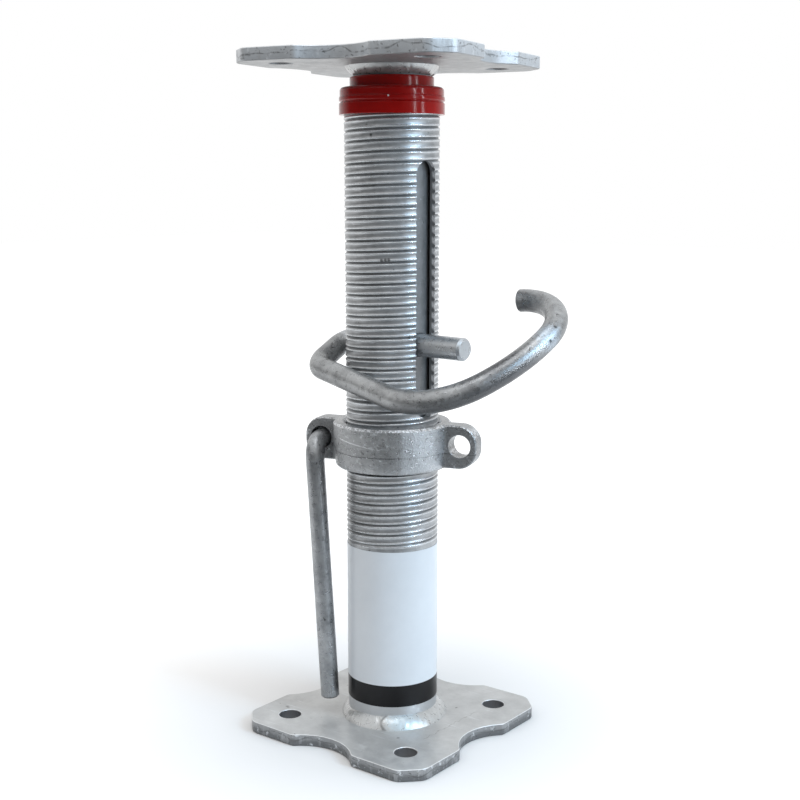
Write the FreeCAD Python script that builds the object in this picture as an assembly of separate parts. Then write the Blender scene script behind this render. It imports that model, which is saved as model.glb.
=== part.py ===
import FreeCAD, Part
import math
import os

# An adjustable steel prop, closed: a slotted and threaded outer tube on a foot plate,
# an inner tube with a head plate, a bent locking pin through both tubes, and a collar
# nut with a hinged turning handle. Millimetres and degrees. The floor is z = 0, +Z is
# up along the tubes, and the foot plate's sides run along X and Y.

# End plates: a square with cut corners and a hollow arc in each side
plate_side = 150.0
plate_thick = 8.0
plate_corner_cut = 13.0
plate_corner_round = 9.0
notch_width = 50.0
notch_depth = 11.0
notch_corner_round = 5.0
bolt_spacing = 100.0
bolt_hole_d = 15.0
vent_hole_d = 20.0
head_turn = 10.2

# Outer tube, with a rolled thread above its plain foot
tube_od = 60.3
tube_wall = 4.0
tube_length = 412.2
thread_rise = 0.4
thread_pitch = 6.77
thread_depth = 1.4
thread_groove_width = 2.6
thread_first_turn = 4.1
slot_length = 162.0
slot_start = 208.0
slot_turn = -5.0
foot_weld_leg = 7.5
foot_weld_bulge = 0.8

# Label round the plain foot of the outer tube
label_start = 13.7
label_height = 107.0
label_thick = 0.2
label_wrap = 300.0
label_facing = -52.5
thread_lead_in = 1.3

# Plastic cap on the outer tube's end, which guides the inner tube
cap_skirt_wall = 2.65
cap_skirt_length = 14.2
cap_top_wall = 2.5
cap_shoulder_round = 2.2
cap_step = 0.5
cap_step_drop = 6.0
cap_groove_drop = 9.0
cap_groove_depth = 1.0
cap_groove_width = 1.6
cap_neck_wall = 2.05
cap_neck_height = 6.5
cap_neck_round = 1.2

# Inner tube, its pin holes and its welded head
inner_wall = 4.0
inner_foot_gap = 22.5
head_weld_leg = 6.0
head_weld_bulge = 0.7
pin_rise = 47.0
pin_hole_pitch = 90.0
pin_hole_rows = 3

# Locking pin: one round bar, bent in a plane that hangs down from the pin's axis
pin_d = 14.5
pin_reach = 31.5
pin_tip_chamfer = 1.5
pin_bend_inset = 2.0
pin_corner_radius = 12.1
pin_tilt = -28.4
pin_run_rise = 13.9
pin_run_length = 78.5
pin_sweep_radius = 47.8
pin_sweep_turn = 75.3
pin_arm_radius = 107.5
pin_hook_radius = 38.8
pin_hook_turn = 100.0

# Collar nut: a cast ring with two flat ears
nut_start = 173.5
nut_height = 29.8
nut_wall = 8.15
nut_parting_drop = 18.0
nut_parting_step = 0.4
nut_draft = 1.0
nut_edge = 1.6
nut_bore_chamfer = 2.0
nut_turn = 17.5
ear_length = 21.0
ear_thick = 13.0
ear_corner_round = 12.5
ear_edge_round = 1.5
ear_lift = 1.2
ear_hole_d = 15.0
ear_hole_offset = 9.5
ear_hole_drop = 13.6

# Turning handle: a round bar bent square, hung in one ear
handle_d = 12.5
handle_bend_radius = 11.0
handle_foot_gap = 10.75
handle_lean = 3.1
handle_end_chamfer = 1.0
handle_head_d = 19.0
handle_head_thick = 4.0

# Clearances, each the gap on one side
telescope_gap = 2.0
slide_clear = 0.3
thread_clear = 0.3
pin_clear = 0.5
slot_clear = 1.5
cap_clear = 0.1
label_glue = 0.1
loop_clear = 0.4
handle_side_clear = 0.8
seat_gap = 0.3

# How closely an edge has to match when it is picked for rounding
near = 0.001
quarter_turn = 90.0

# Sizes and places that follow
UP = FreeCAD.Vector(0, 0, 1)
thread_od = tube_od + 2 * thread_rise
inner_od = tube_od - 2 * tube_wall - 2 * telescope_gap
slot_width = pin_d + 2 * slot_clear
nut_od = thread_od + 2 * thread_clear + 2 * nut_wall
ear_reach = nut_od / 2 + ear_length
ear_hole_centre = nut_od / 2 + ear_hole_offset
plate_top = plate_thick
tube_top = plate_top + tube_length
label_bottom = plate_top + label_start
label_top = label_bottom + label_height
thread_bottom = label_top + thread_lead_in
cap_shoulder = tube_top + cap_top_wall
cap_top = cap_shoulder + cap_neck_height
head_bottom = cap_top + seat_gap + head_weld_leg
inner_bottom = plate_top + inner_foot_gap
slot_bottom = plate_top + slot_start
slot_top = slot_bottom + slot_length
pin_height = slot_bottom + pin_rise
nut_bottom = plate_top + nut_start
nut_top = nut_bottom + nut_height
ear_hole_height = nut_top - ear_hole_drop
handle_axis_height = ear_hole_height - (ear_hole_d - handle_d) / 2 + seat_gap
handle_drop = handle_axis_height - plate_top - handle_foot_gap


def turned(shape, degrees):
    """The shape turned about the prop's axis."""
    copy = shape.copy()
    copy.rotate(FreeCAD.Vector(0, 0, 0), UP, degrees)
    return copy


def revolved(edges, degrees=360.0):
    """A solid of revolution about Z from closed edges in the XZ plane."""
    face = Part.Face(Part.Wire(edges))
    return face.revolve(FreeCAD.Vector(0, 0, 0), UP, degrees)


def profile_lines(points):
    """Closed straight edges through (radius, height) points."""
    corners = [FreeCAD.Vector(r, 0, z) for r, z in points]
    pairs = zip(corners, corners[1:] + corners[:1])
    return [Part.LineSegment(a, b).toShape() for a, b in pairs]


def edges_along(shape, axis):
    """The edges of a shape that start out along an axis, either way."""
    return [e for e in shape.Edges if abs(e.tangentAt(e.FirstParameter).dot(axis)) > 1 - near]


def tube(outer_d, wall, bottom, length):
    """A plain tube on the Z axis."""
    base = FreeCAD.Vector(0, 0, bottom)
    outside = Part.makeCylinder(outer_d / 2, length, base)
    inside = Part.makeCylinder(outer_d / 2 - wall, length, base)
    return outside.cut(inside)


def cross_hole(diameter, height, degrees, reach):
    """A round cutter through the axis, level, along the given direction."""
    start = FreeCAD.Vector(-reach, 0, height)
    rod = Part.makeCylinder(diameter / 2, 2 * reach, start, FreeCAD.Vector(1, 0, 0))
    return turned(rod, degrees)


def fillet_weld(tube_d, leg, bulge, level, rises):
    """A weld bead in the corner between a tube and a level plate face."""
    way = 1 if rises else -1
    r = tube_d / 2
    heel = FreeCAD.Vector(r, 0, level)
    toe = FreeCAD.Vector(r + leg, 0, level)
    crown = FreeCAD.Vector(r, 0, level + way * leg)
    half = leg / 2 + bulge / math.sqrt(2)
    middle = FreeCAD.Vector(r + half, 0, level + way * half)
    face_arc = Part.Arc(toe, middle, crown).toShape()
    foot = Part.LineSegment(heel, toe).toShape()
    side = Part.LineSegment(crown, heel).toShape()
    return revolved([foot, face_arc, side])


def end_plate(bottom, turn):
    """One end plate: cut corners, hollow sides, four bolt holes and a vent hole."""
    half = plate_side / 2
    corner = half - plate_corner_cut
    notch = notch_width / 2
    edges = []
    for quarter in range(4):
        points = [
            FreeCAD.Vector(-corner, -half, bottom),
            FreeCAD.Vector(-notch, -half, bottom),
            FreeCAD.Vector(0, -half + notch_depth, bottom),
            FreeCAD.Vector(notch, -half, bottom),
            FreeCAD.Vector(corner, -half, bottom),
            FreeCAD.Vector(half, -corner, bottom),
        ]
        side = [
            Part.LineSegment(points[0], points[1]).toShape(),
            Part.Arc(points[1], points[2], points[3]).toShape(),
            Part.LineSegment(points[3], points[4]).toShape(),
            Part.LineSegment(points[4], points[5]).toShape(),
        ]
        edges += [turned(edge, quarter_turn * quarter) for edge in side]
    plate = Part.Face(Part.Wire(edges)).extrude(UP * plate_thick)

    def beside_notch(edge):
        place = edge.CenterOfMass
        return min(abs(place.x), abs(place.y)) < notch + near

    corners = [e for e in edges_along(plate, UP) if not beside_notch(e)]
    plate = plate.makeFillet(plate_corner_round, corners)
    nicks = [e for e in edges_along(plate, UP) if beside_notch(e)]
    plate = plate.makeFillet(notch_corner_round, nicks)
    reach = bolt_spacing / 2
    holes = [Part.makeCylinder(vent_hole_d / 2, plate_thick, FreeCAD.Vector(0, 0, bottom))]
    for x in (-reach, reach):
        for y in (-reach, reach):
            holes.append(Part.makeCylinder(bolt_hole_d / 2, plate_thick, FreeCAD.Vector(x, y, bottom)))
    return turned(plate.cut(holes), turn)


def thread_groove():
    """The rolled groove: one turn of a vee swept along a helix, repeated up to the tube's end."""
    crest = thread_od / 2
    first = thread_bottom + thread_first_turn
    proud = thread_depth / 2
    half = thread_groove_width / 2 * (thread_depth + proud) / thread_depth
    vee = Part.Wire(profile_lines([
        (crest + proud, first - half),
        (crest - thread_depth, first),
        (crest + proud, first + half),
    ]))
    helix = Part.makeHelix(thread_pitch, thread_pitch, crest)
    helix.translate(UP * first)
    turn = Part.Wire(helix.Edges).makePipeShell([vee], True, True)
    turns = math.ceil((tube_top - first) / thread_pitch) + 1
    return [turn.translated(UP * (thread_pitch * count)) for count in range(turns)]


def outer_tube():
    """The outer tube: plain foot, rolled thread and a pin slot in both sides."""
    bore = tube_od / 2 - tube_wall
    plain = tube_od / 2
    crest = thread_od / 2
    body = revolved(profile_lines([
        (bore, plate_top),
        (plain, plate_top),
        (plain, thread_bottom),
        (crest, thread_bottom + crest - plain),
        (crest, tube_top),
        (bore, tube_top),
    ]))
    low_end = slot_bottom + slot_width / 2
    high_end = slot_top - slot_width / 2
    straight = Part.makeBox(
        thread_od, slot_width, high_end - low_end,
        FreeCAD.Vector(-thread_od / 2, -slot_width / 2, low_end),
    )
    cutters = [turned(straight, slot_turn)]
    for height in (low_end, high_end):
        cutters.append(cross_hole(slot_width, height, slot_turn, thread_od / 2))
    return body.cut(thread_groove()).cut(cutters)


def label():
    """The thin label wrapped round the plain foot of the tube."""
    inside = tube_od / 2 + label_glue
    outside = inside + label_thick
    sheet = revolved(profile_lines([
        (inside, label_bottom),
        (outside, label_bottom),
        (outside, label_top),
        (inside, label_top),
    ]), label_wrap)
    return turned(sheet, label_facing - label_wrap / 2)


def top_cap():
    """The moulded cap: a grooved skirt over the thread and a neck that guides the inner tube."""
    skirt_bore = thread_od / 2 + cap_clear
    skirt = skirt_bore + cap_skirt_wall
    upper = skirt - cap_step
    neck_bore = inner_od / 2 + slide_clear
    neck = neck_bore + cap_neck_wall
    bottom = tube_top - cap_skirt_length
    step = cap_shoulder - cap_step_drop
    groove = cap_shoulder - cap_groove_drop
    half_groove = cap_groove_width / 2
    body = revolved(profile_lines([
        (skirt_bore, bottom),
        (skirt, bottom),
        (skirt, groove - half_groove),
        (skirt - cap_groove_depth, groove),
        (skirt, groove + half_groove),
        (skirt, step),
        (upper, step + cap_step),
        (upper, cap_shoulder),
        (neck, cap_shoulder),
        (neck, cap_top),
        (neck_bore, cap_top),
        (neck_bore, tube_top),
        (skirt_bore, tube_top),
    ]))
    shoulder_edge = ring_edges(body, upper, cap_shoulder)
    body = body.makeFillet(cap_shoulder_round, shoulder_edge)
    neck_edge = ring_edges(body, neck, cap_top)
    return body.makeFillet(cap_neck_round, neck_edge)


def ring_edges(shape, radius, height):
    """The level circular edges of a turned shape at one radius and height."""
    found = []
    for edge in shape.Edges:
        box = edge.BoundBox
        level = abs(box.ZMin - height) < near and abs(box.ZMax - height) < near
        if level and abs(box.XMax - radius) < near:
            found.append(edge)
    return found


def inner_tube():
    """The inner tube with its row of pin holes, the top one in use."""
    body = tube(inner_od, inner_wall, inner_bottom, head_bottom - inner_bottom)
    holes = []
    for row in range(pin_hole_rows):
        level = pin_height - row * pin_hole_pitch
        holes.append(cross_hole(pin_d + 2 * pin_clear, level, slot_turn, inner_od))
    return body.cut(holes)


def pin_point(along, across):
    """A place in the bent pin's plane: along the pin, and across it down the tilted side."""
    turn = math.radians(slot_turn)
    tilt = math.radians(pin_tilt)
    ahead = FreeCAD.Vector(math.cos(turn), math.sin(turn), 0)
    aside = FreeCAD.Vector(math.sin(turn), -math.cos(turn), 0)
    offset = ahead * along + aside * (across * math.cos(tilt)) + UP * (across * math.sin(tilt))
    return offset + UP * pin_height


def pin_side_length():
    """The straight between the first two bends, so that the long run just clears the thread."""
    rise = math.radians(pin_run_rise)
    tilt = math.radians(pin_tilt)
    start = thread_od / 2 - pin_bend_inset
    clear = thread_od / 2 + pin_d / 2 + loop_clear
    slant = math.hypot(math.cos(rise), math.sin(rise) * math.cos(tilt))
    reach = clear * slant / math.cos(tilt) - start * math.sin(rise)
    return (reach - pin_corner_radius * (1 + math.cos(rise))) / math.cos(rise)


def bent_path(place, start, heading, moves):
    """A wire of straight runs and right-hand arcs in a plane, with tangents that meet."""
    x, y = start
    angle = math.radians(heading)
    edges = []
    for kind, size, turn in moves:
        if kind == "run":
            end = (x + size * math.cos(angle), y + size * math.sin(angle))
            edges.append(Part.LineSegment(place(x, y), place(*end)).toShape())
        else:
            sweep = math.radians(turn)
            cx = x + size * math.sin(angle)
            cy = y - size * math.cos(angle)
            middle = angle - sweep / 2
            final = angle - sweep
            halfway = (cx - size * math.sin(middle), cy + size * math.cos(middle))
            end = (cx - size * math.sin(final), cy + size * math.cos(final))
            edges.append(Part.Arc(place(x, y), place(*halfway), place(*end)).toShape())
            angle = final
        x, y = end
    return Part.Wire(edges)


def round_bar(path, diameter):
    """A round bar swept along a wire."""
    start = path.Edges[0]
    centre = start.valueAt(start.FirstParameter)
    ahead = start.tangentAt(start.FirstParameter)
    ring = Part.Wire([Part.makeCircle(diameter / 2, centre, ahead)])
    return path.makePipeShell([ring], True, False)


def chamfered_end(bar, centre, diameter, size):
    """The bar with the rim of the flat end at a point chamfered."""
    rims = []
    for edge in bar.Edges:
        round_rim = abs(edge.Length - math.pi * diameter) < near
        if round_rim and edge.CenterOfMass.distanceToPoint(centre) < near:
            rims.append(edge)
    return bar.makeChamfer(size, rims[:1])


def locking_pin():
    """The locking pin: straight through the tubes, back round the front, and a hooked end."""
    tip = thread_od / 2 + pin_reach
    start = thread_od / 2 - pin_bend_inset
    path = bent_path(pin_point, (tip, 0), 2 * quarter_turn, [
        ("run", tip + start, 0),
        ("bend", pin_corner_radius, quarter_turn),
        ("run", pin_side_length(), 0),
        ("bend", pin_corner_radius, quarter_turn - pin_run_rise),
        ("run", pin_run_length, 0),
        ("bend", pin_sweep_radius, pin_sweep_turn),
        ("bend", pin_arm_radius, quarter_turn + pin_run_rise - pin_sweep_turn),
        ("bend", pin_hook_radius, pin_hook_turn),
    ])
    bar = round_bar(path, pin_d)
    return chamfered_end(bar, pin_point(tip, 0), pin_d, pin_tip_chamfer)


def collar_nut():
    """The cast collar nut: ring with draft below its parting line, and two ears with holes."""
    outside = nut_od / 2
    bore = thread_od / 2 + thread_clear
    parting = nut_top - nut_parting_drop
    low = outside - nut_parting_step - nut_draft
    ring = revolved(profile_lines([
        (0, nut_bottom),
        (low - nut_edge, nut_bottom),
        (low, nut_bottom + nut_edge),
        (outside - nut_parting_step, parting),
        (outside, parting),
        (outside, nut_top - nut_edge),
        (outside - nut_edge, nut_top),
        (0, nut_top),
    ]))
    ear_height = nut_height - ear_lift
    bar = Part.makeBox(
        2 * ear_reach, ear_thick, ear_height,
        FreeCAD.Vector(-ear_reach, -ear_thick / 2, nut_bottom + ear_lift),
    )
    across = FreeCAD.Vector(0, 1, 0)
    corner = min(ear_corner_round, ear_height / 2 - ear_edge_round)
    bar = bar.makeFillet(corner, edges_along(bar, across))
    rims = [e for e in bar.Edges if e.BoundBox.YLength < near]
    bar = bar.makeFillet(ear_edge_round, rims)
    bore_cutter = revolved(profile_lines([
        (0, nut_bottom),
        (bore + nut_bore_chamfer, nut_bottom),
        (bore, nut_bottom + nut_bore_chamfer),
        (bore, nut_top - nut_bore_chamfer),
        (bore + nut_bore_chamfer, nut_top),
        (0, nut_top),
    ]))
    cutters = [bore_cutter]
    for side in (-1, 1):
        start = FreeCAD.Vector(side * ear_hole_centre, -ear_thick, ear_hole_height)
        cutters.append(Part.makeCylinder(ear_hole_d / 2, 2 * ear_thick, start, across))
    return turned(ring.fuse(bar).cut(cutters).removeSplitter(), nut_turn)


def nut_handle():
    """The turning handle: a short leg through the ear, a square bend and a long hanging leg."""
    side = ear_thick / 2 + handle_side_clear

    def place(forward, rise):
        return FreeCAD.Vector(-ear_hole_centre, -forward, handle_axis_height + rise)

    path = bent_path(place, (-side, 0), 0, [
        ("run", 2 * side, 0),
        ("bend", handle_bend_radius, quarter_turn),
        ("run", handle_drop - handle_bend_radius, 0),
    ])
    bar = round_bar(path, handle_d)
    foot = place(side + handle_bend_radius, -handle_drop)
    bar = chamfered_end(bar, foot, handle_d, handle_end_chamfer)
    outward = FreeCAD.Vector(0, 1, 0)
    head = Part.makeCylinder(handle_head_d / 2, handle_head_thick, place(-side, 0), outward)
    handle = bar.fuse(head).removeSplitter()
    handle.rotate(place(0, 0), outward, -handle_lean)
    return turned(handle, nut_turn)


pieces = {
    "base_plate": end_plate(0, 0),
    "base_weld": fillet_weld(tube_od, foot_weld_leg, foot_weld_bulge, plate_top, True),
    "outer_tube": outer_tube(),
    "label": label(),
    "top_cap": top_cap(),
    "inner_tube": inner_tube(),
    "head_plate": end_plate(head_bottom, head_turn),
    "head_weld": fillet_weld(inner_od, head_weld_leg, head_weld_bulge, head_bottom, False),
    "locking_pin": locking_pin(),
    "collar_nut": collar_nut(),
    "nut_handle": nut_handle(),
}

os.makedirs("parts", exist_ok=True)
for name, shape in pieces.items():
    shape.exportStep("parts/" + name + ".step")
    print(name, "solids", len(shape.Solids), "valid", shape.isValid(), "volume", round(shape.Volume))
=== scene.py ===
# %% [markdown]
# # Adjustable steel prop
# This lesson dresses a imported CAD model: two telescoping tubes between two lobed plates, a bent
# locking pin, a cast nut with a swinging handle, a red cap and a label. The solids give every size,
# so the scene only adds what a solid leaves out: the thread's rounded lips, rippled weld beads,
# softened edges and the finishes. The model's own frame is in metres, with the foot plate on the
# floor; sizes that read better in millimetres are turned into metres with MM.

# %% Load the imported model
import bmesh
import bpy
import math
import numpy as np
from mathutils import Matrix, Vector


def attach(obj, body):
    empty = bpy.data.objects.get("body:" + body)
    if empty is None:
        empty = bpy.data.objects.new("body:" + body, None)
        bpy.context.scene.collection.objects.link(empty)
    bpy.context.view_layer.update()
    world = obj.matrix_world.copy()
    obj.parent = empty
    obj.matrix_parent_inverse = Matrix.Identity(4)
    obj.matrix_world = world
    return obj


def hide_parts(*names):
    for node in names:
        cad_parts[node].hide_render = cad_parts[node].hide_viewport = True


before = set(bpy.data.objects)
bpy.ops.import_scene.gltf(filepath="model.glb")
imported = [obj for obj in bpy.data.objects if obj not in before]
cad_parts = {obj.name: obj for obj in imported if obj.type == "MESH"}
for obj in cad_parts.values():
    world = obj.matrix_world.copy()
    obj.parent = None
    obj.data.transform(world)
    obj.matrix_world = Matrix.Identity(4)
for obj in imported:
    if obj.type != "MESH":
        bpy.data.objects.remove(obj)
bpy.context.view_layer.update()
MM = 0.001


def add_object(name, data):
    """A new object in the scene."""
    item = bpy.data.objects.new(name, data)
    bpy.context.scene.collection.objects.link(item)
    return item


def face_outwards(mesh):
    """Turns every face of a closed mesh outwards."""
    form = bmesh.new()
    form.from_mesh(mesh)
    bmesh.ops.recalc_face_normals(form, faces=form.faces)
    form.to_mesh(mesh)
    form.free()


print("CAD pieces:", ", ".join(sorted(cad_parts)))

# %% [markdown]
# ## Camera
# The prop is seen from a little above its middle, so the foot plate shows its top and the head
# plate its underside. A short lens shift keeps the upright tube upright in the picture; tilting the
# camera further would do the same job but make the tube lean.

# %% Camera
lens = bpy.data.cameras.new("studio_camera")
lens.sensor_width = 36.0
lens.lens = 58.864
lens.shift_y = 0.07
camera = add_object("studio_camera", lens)
camera.location = (0.52627, -0.66749, 0.36644)
camera.rotation_mode = "QUATERNION"
camera.rotation_quaternion = Vector((-0.60114, 0.77192, -0.20681)).to_track_quat("-Z", "Y")
bpy.context.scene.camera = camera
bpy.context.scene.view_settings.view_transform = "Standard"
print("camera at", [round(x, 3) for x in camera.location], "lens", lens.lens)

# %% [markdown]
# ## Small helpers for shader nodes
# Each finish is a handful of nodes, and writing every socket by hand hides the idea. One helper
# places a node and sets or wires its inputs, a few name the steps that come up again and again, and
# one starts a finish with its shader.

# %% Node helpers
def place(tree, kind, inputs=(), **settings):
    """A node of that kind; each input is (socket, value or output to wire)."""
    node = tree.nodes.new(kind)
    for key, value in settings.items():
        setattr(node, key, value)
    for socket, value in inputs:
        if isinstance(value, bpy.types.NodeSocket):
            tree.links.new(value, node.inputs[socket])
        else:
            node.inputs[socket].default_value = value
    return node


def math_of(tree, operation, first, second=0.0):
    """The result of one math step."""
    return place(tree, "ShaderNodeMath", [(0, first), (1, second)], operation=operation).outputs[0]


def times(tree, first, second):
    """The product of two values."""
    return math_of(tree, "MULTIPLY", first, second)


def plus(tree, first, second):
    """The sum of two values."""
    return math_of(tree, "ADD", first, second)


def minus(tree, first, second):
    """The first value less the second."""
    return math_of(tree, "SUBTRACT", first, second)


def remap(tree, value, low, high, to_low=0.0, to_high=1.0):
    """A value stretched from low..high to to_low..to_high, and held there."""
    inputs = [("Value", value), ("From Min", low), ("From Max", high),
              ("To Min", to_low), ("To Max", to_high)]
    return place(tree, "ShaderNodeMapRange", inputs).outputs[0]


def blend(tree, amount, first, second):
    """Two colours mixed by a mask."""
    node = place(tree, "ShaderNodeMix", [("Factor", amount)], data_type="RGBA")
    for socket, colour in ((node.inputs[6], first), (node.inputs[7], second)):
        if isinstance(colour, bpy.types.NodeSocket):
            tree.links.new(colour, socket)
        else:
            socket.default_value = (*colour, 1.0)
    return node.outputs[2]


def tinted(tree, colour, mask, strength, tint):
    """A colour with a tint laid over it where the mask is, at that strength."""
    return blend(tree, times(tree, mask, strength), colour, tint)


def own_place(tree):
    """The point being shaded, in the model's frame."""
    return place(tree, "ShaderNodeTexCoord").outputs["Object"]


def noise(tree, vector, scale, **settings):
    """The value of a noise, with its detail and other settings by name."""
    inputs = [("Vector", vector), ("Scale", scale), *settings.items()]
    return place(tree, "ShaderNodeTexNoise", inputs).outputs["Fac"]


def axis_distance(tree, x, y):
    """How far the point is from the prop's upright axis."""
    flat = place(tree, "ShaderNodeCombineXYZ", [(0, x), (1, y)]).outputs[0]
    return place(tree, "ShaderNodeVectorMath", [(0, flat)], operation="LENGTH").outputs["Value"]


def start_finish(name, **sockets):
    """A new material with a Principled shader, its plain numbers set on the shader itself."""
    material = bpy.data.materials.new(name)
    material.use_nodes = True
    tree = material.node_tree
    tree.nodes.clear()
    skin = place(tree, "ShaderNodeBsdfPrincipled", [(k, v) for k, v in sockets.items()])
    place(tree, "ShaderNodeOutputMaterial", [("Surface", skin.outputs[0])])
    return material, tree, skin


print("helpers ready")

# %% [markdown]
# ## Floor, backdrop and light
# The prop stands on white paper in a room with a white backdrop, a white ceiling, grey walls at the
# sides, a dark front end and a window high on the right. The camera sees white all round, mirror-like
# rays see the room itself, and its dark end is what gives round steel its shape. The paper takes the
# soft shadow and is lifted to white further out.

# %% Seen directly
def seen_directly(tree):
    """One for camera, mirror and see-through rays, nought for the light that falls on things."""
    path = place(tree, "ShaderNodeLightPath")
    either = math_of(tree, "MAXIMUM", path.outputs["Is Camera Ray"], path.outputs["Is Glossy Ray"])
    return math_of(tree, "MAXIMUM", either, path.outputs["Is Transmission Ray"])


print("ray helper ready")

# %% World
world = bpy.data.worlds.new("white_room")
world.use_nodes = True
bpy.context.scene.world = world
room = world.node_tree
room.nodes.clear()
facing = place(room, "ShaderNodeTexCoord").outputs["Generated"]


def towards(tree, vector, way):
    """How far a vector points along a fixed way."""
    dot = place(tree, "ShaderNodeVectorMath", [(0, vector), (1, way)], operation="DOT_PRODUCT")
    return dot.outputs["Value"]


BACK, FRONT = (-0.614, 0.789, 0.0), (-0.09, -1.0, 0.0)
grey_wall = remap(room, towards(room, facing, FRONT), -0.10, 0.50, 0.40, 0.10)
white_share = remap(room, towards(room, facing, BACK), 0.25, 0.75)
steep = math_of(room, "ABSOLUTE", place(room, "ShaderNodeSeparateXYZ", [(0, facing)]).outputs[2])
white_share = math_of(room, "MAXIMUM", white_share, remap(room, steep, 0.12, 0.45))
tone = plus(room, white_share, times(room, grey_wall, minus(room, 1.0, white_share)))
tone = math_of(room, "MAXIMUM", tone, place(room, "ShaderNodeLightPath").outputs["Is Camera Ray"])
glow = times(room, tone, remap(room, seen_directly(room), 0.0, 1.0, 0.88, 1.0))
sky = place(room, "ShaderNodeBackground", [("Color", (1.0, 1.0, 1.0, 1.0)), ("Strength", glow)])
place(room, "ShaderNodeOutputWorld", [("Surface", sky.outputs[0])])
print("world", world.name)

# %% Floor
floor_mesh = bpy.data.meshes.new("studio_floor")
FLOOR_HALF, FLOOR_GAP = 6.0, 0.2 * MM
corners = [(-1, -1), (1, -1), (1, 1), (-1, 1)]
floor_mesh.from_pydata([(FLOOR_HALF * x, FLOOR_HALF * y, 0) for x, y in corners], [], [(0, 1, 2, 3)])
floor = add_object("studio_floor", floor_mesh)
floor.location.z = -FLOOR_GAP
paper = bpy.data.materials.new("white_paper")
paper.use_nodes = True
sheet = paper.node_tree
sheet.nodes.clear()
where = own_place(sheet)
unseen = minus(sheet, 1.0, place(sheet, "ShaderNodeLightPath").outputs["Is Camera Ray"])
past_paper = times(sheet, unseen, remap(sheet, towards(sheet, where, BACK), -0.17, -0.26))
paper_tone = blend(sheet, past_paper, (0.82, 0.82, 0.82), (0.28, 0.28, 0.28))
matt = place(sheet, "ShaderNodeBsdfDiffuse", [("Color", paper_tone)])
spread = place(sheet, "ShaderNodeVectorMath", [(0, where)], operation="LENGTH")
lift = times(sheet, seen_directly(sheet), remap(sheet, spread.outputs["Value"], 0.09, 0.40, 0.0, 0.5))
lift = times(sheet, lift, minus(sheet, 1.0, past_paper))
shine = place(sheet, "ShaderNodeEmission", [("Color", (1.0, 1.0, 1.0, 1.0)), ("Strength", lift)])
both = place(sheet, "ShaderNodeAddShader", [(0, matt.outputs[0]), (1, shine.outputs[0])])
place(sheet, "ShaderNodeOutputMaterial", [("Surface", both.outputs[0])])
floor_mesh.materials.append(paper)
print("floor", floor.name, "in", paper.name)

# %% Lamps
LAMP_AIM_HEIGHT = 0.22


def lamp(name, azimuth, elevation, distance, size, power, colour):
    """A soft rectangular lamp that looks at the middle of the prop."""
    data = bpy.data.lights.new(name, "AREA")
    data.shape = "RECTANGLE"
    data.size, data.size_y = size
    data.energy = power
    data.color = colour
    a, e = math.radians(azimuth), math.radians(elevation)
    way = Vector((math.sin(a) * math.cos(e), -math.cos(a) * math.cos(e), math.sin(e)))
    item = add_object(name, data)
    item.location = Vector((0, 0, LAMP_AIM_HEIGHT)) + way * distance
    item.rotation_euler = (-way).to_track_quat("-Z", "Y").to_euler()


lamp("window_near_bar", 88, 8, 1.3, (0.025, 0.6), 1.8, (0.86, 0.93, 1.0))
lamp("window_far_bar", 108, 8, 1.3, (0.025, 0.6), 1.8, (0.86, 0.93, 1.0))
lamp("window_pane", 94, 32, 1.5, (0.50, 0.50), 8.0, (0.46, 0.74, 1.0))
lamp("ceiling_panel", 40, 78, 1.6, (0.9, 0.9), 7.0, (0.96, 0.98, 1.0))

# %% [markdown]
# ## Shared effect: zinc bloom
# Hot-dip galvanising leaves a cloudy grey skin, never one even tone: large soft clouds, small
# crystal patches and a fine tooth. Every steel piece needs it at its own scale, so it is one node
# group built from three noises, and it gives plain values that each finish colours for itself.

# %% Zinc bloom group
def new_group(name, inputs, outputs):
    """An empty shader group with named float inputs and outputs."""
    group = bpy.data.node_groups.new(name, "ShaderNodeTree")
    for label, value in inputs:
        socket = group.interface.new_socket(label, in_out="INPUT", socket_type="NodeSocketFloat")
        socket.default_value = value
    for label in outputs:
        group.interface.new_socket(label, in_out="OUTPUT", socket_type="NodeSocketFloat")
    return group, group.nodes.new("NodeGroupInput"), group.nodes.new("NodeGroupOutput")


zinc_bloom, given, result = new_group(
    "zinc_bloom", [("Cloud Scale", 60.0), ("Patch Scale", 260.0), ("Tooth Scale", 1500.0)],
    ["Cloud", "Patch", "Tooth"])
where = own_place(zinc_bloom)
cloud = noise(zinc_bloom, where, given.outputs["Cloud Scale"], Detail=5.0, Roughness=0.62)
patch = noise(zinc_bloom, where, given.outputs["Patch Scale"], Detail=3.0, Distortion=0.6)
tooth = noise(zinc_bloom, where, given.outputs["Tooth Scale"], Detail=2.0)
for source, label in ((cloud, "Cloud"), (patch, "Patch"), (tooth, "Tooth")):
    zinc_bloom.links.new(remap(zinc_bloom, source, 0.3, 0.7), result.inputs[label])
print("group", zinc_bloom.name, "gives", [s.name for s in result.inputs if s.name])

# %% [markdown]
# ## Shared effect: handling marks
# Site gear is thrown about, so it carries dark pits and fine bright scratches. Cells of a Voronoi
# pattern make pits as round as dots, so the pits are the peaks of a noise, which are ragged;
# scratches are a noise stretched long and thin. Both come out as masks.

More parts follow.
